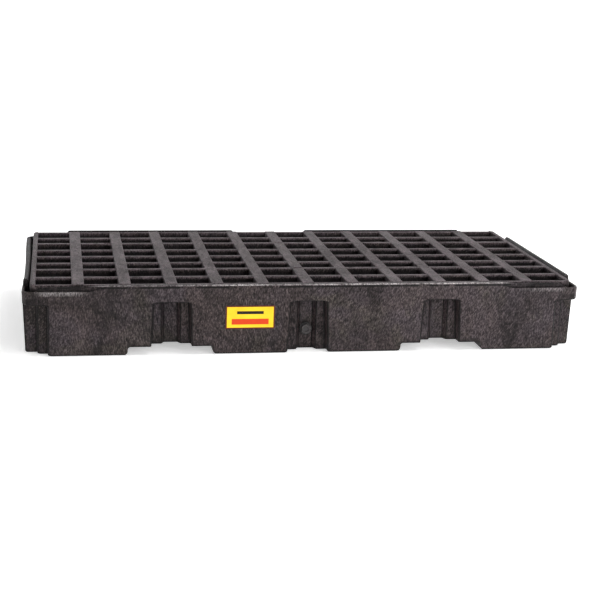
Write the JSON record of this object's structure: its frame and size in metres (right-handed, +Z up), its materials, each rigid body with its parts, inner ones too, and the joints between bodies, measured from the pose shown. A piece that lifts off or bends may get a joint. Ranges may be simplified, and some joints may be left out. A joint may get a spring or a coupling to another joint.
{
  "type": "spill containment pallet",
  "caption": "Low-profile black spill containment pallet: a shallow moulded sump tray under a lift-out grating, with a drain plug in the front wall.",
  "frame": {"origin": "on the ground, at the centre of the base", "axes": "+X along the long side, +Y from the labelled front wall to the back, +Z up"},
  "size_m": [1.308, 0.667, 0.1665],
  "materials": {
    "tray_plastic": "satin, flow-marked",
    "grating_plastic": "satin, fine grain",
    "plug_plastic": "satin",
    "seal_rubber": "matte",
    "label_film": "glossy vinyl"
  },
  "bodies": {
    "tray": {"sump_tray": "tray_plastic", "front_label": "label_film"},
    "grating": {"deck_grating": "grating_plastic"},
    "plug": {"drain_plug": "plug_plastic", "drain_seal": "seal_rubber"}
  },
  "joints": [
    {"name": "grating_lift", "type": "slide", "parent": "tray", "child": "grating", "axis": [0, 0, 1], "range_m": [0, 0.25]},
    {"name": "plug_pull", "type": "slide", "parent": "tray", "child": "plug", "axis": [0, -1, 0], "range_m": [0, 0.06]}
  ]
}
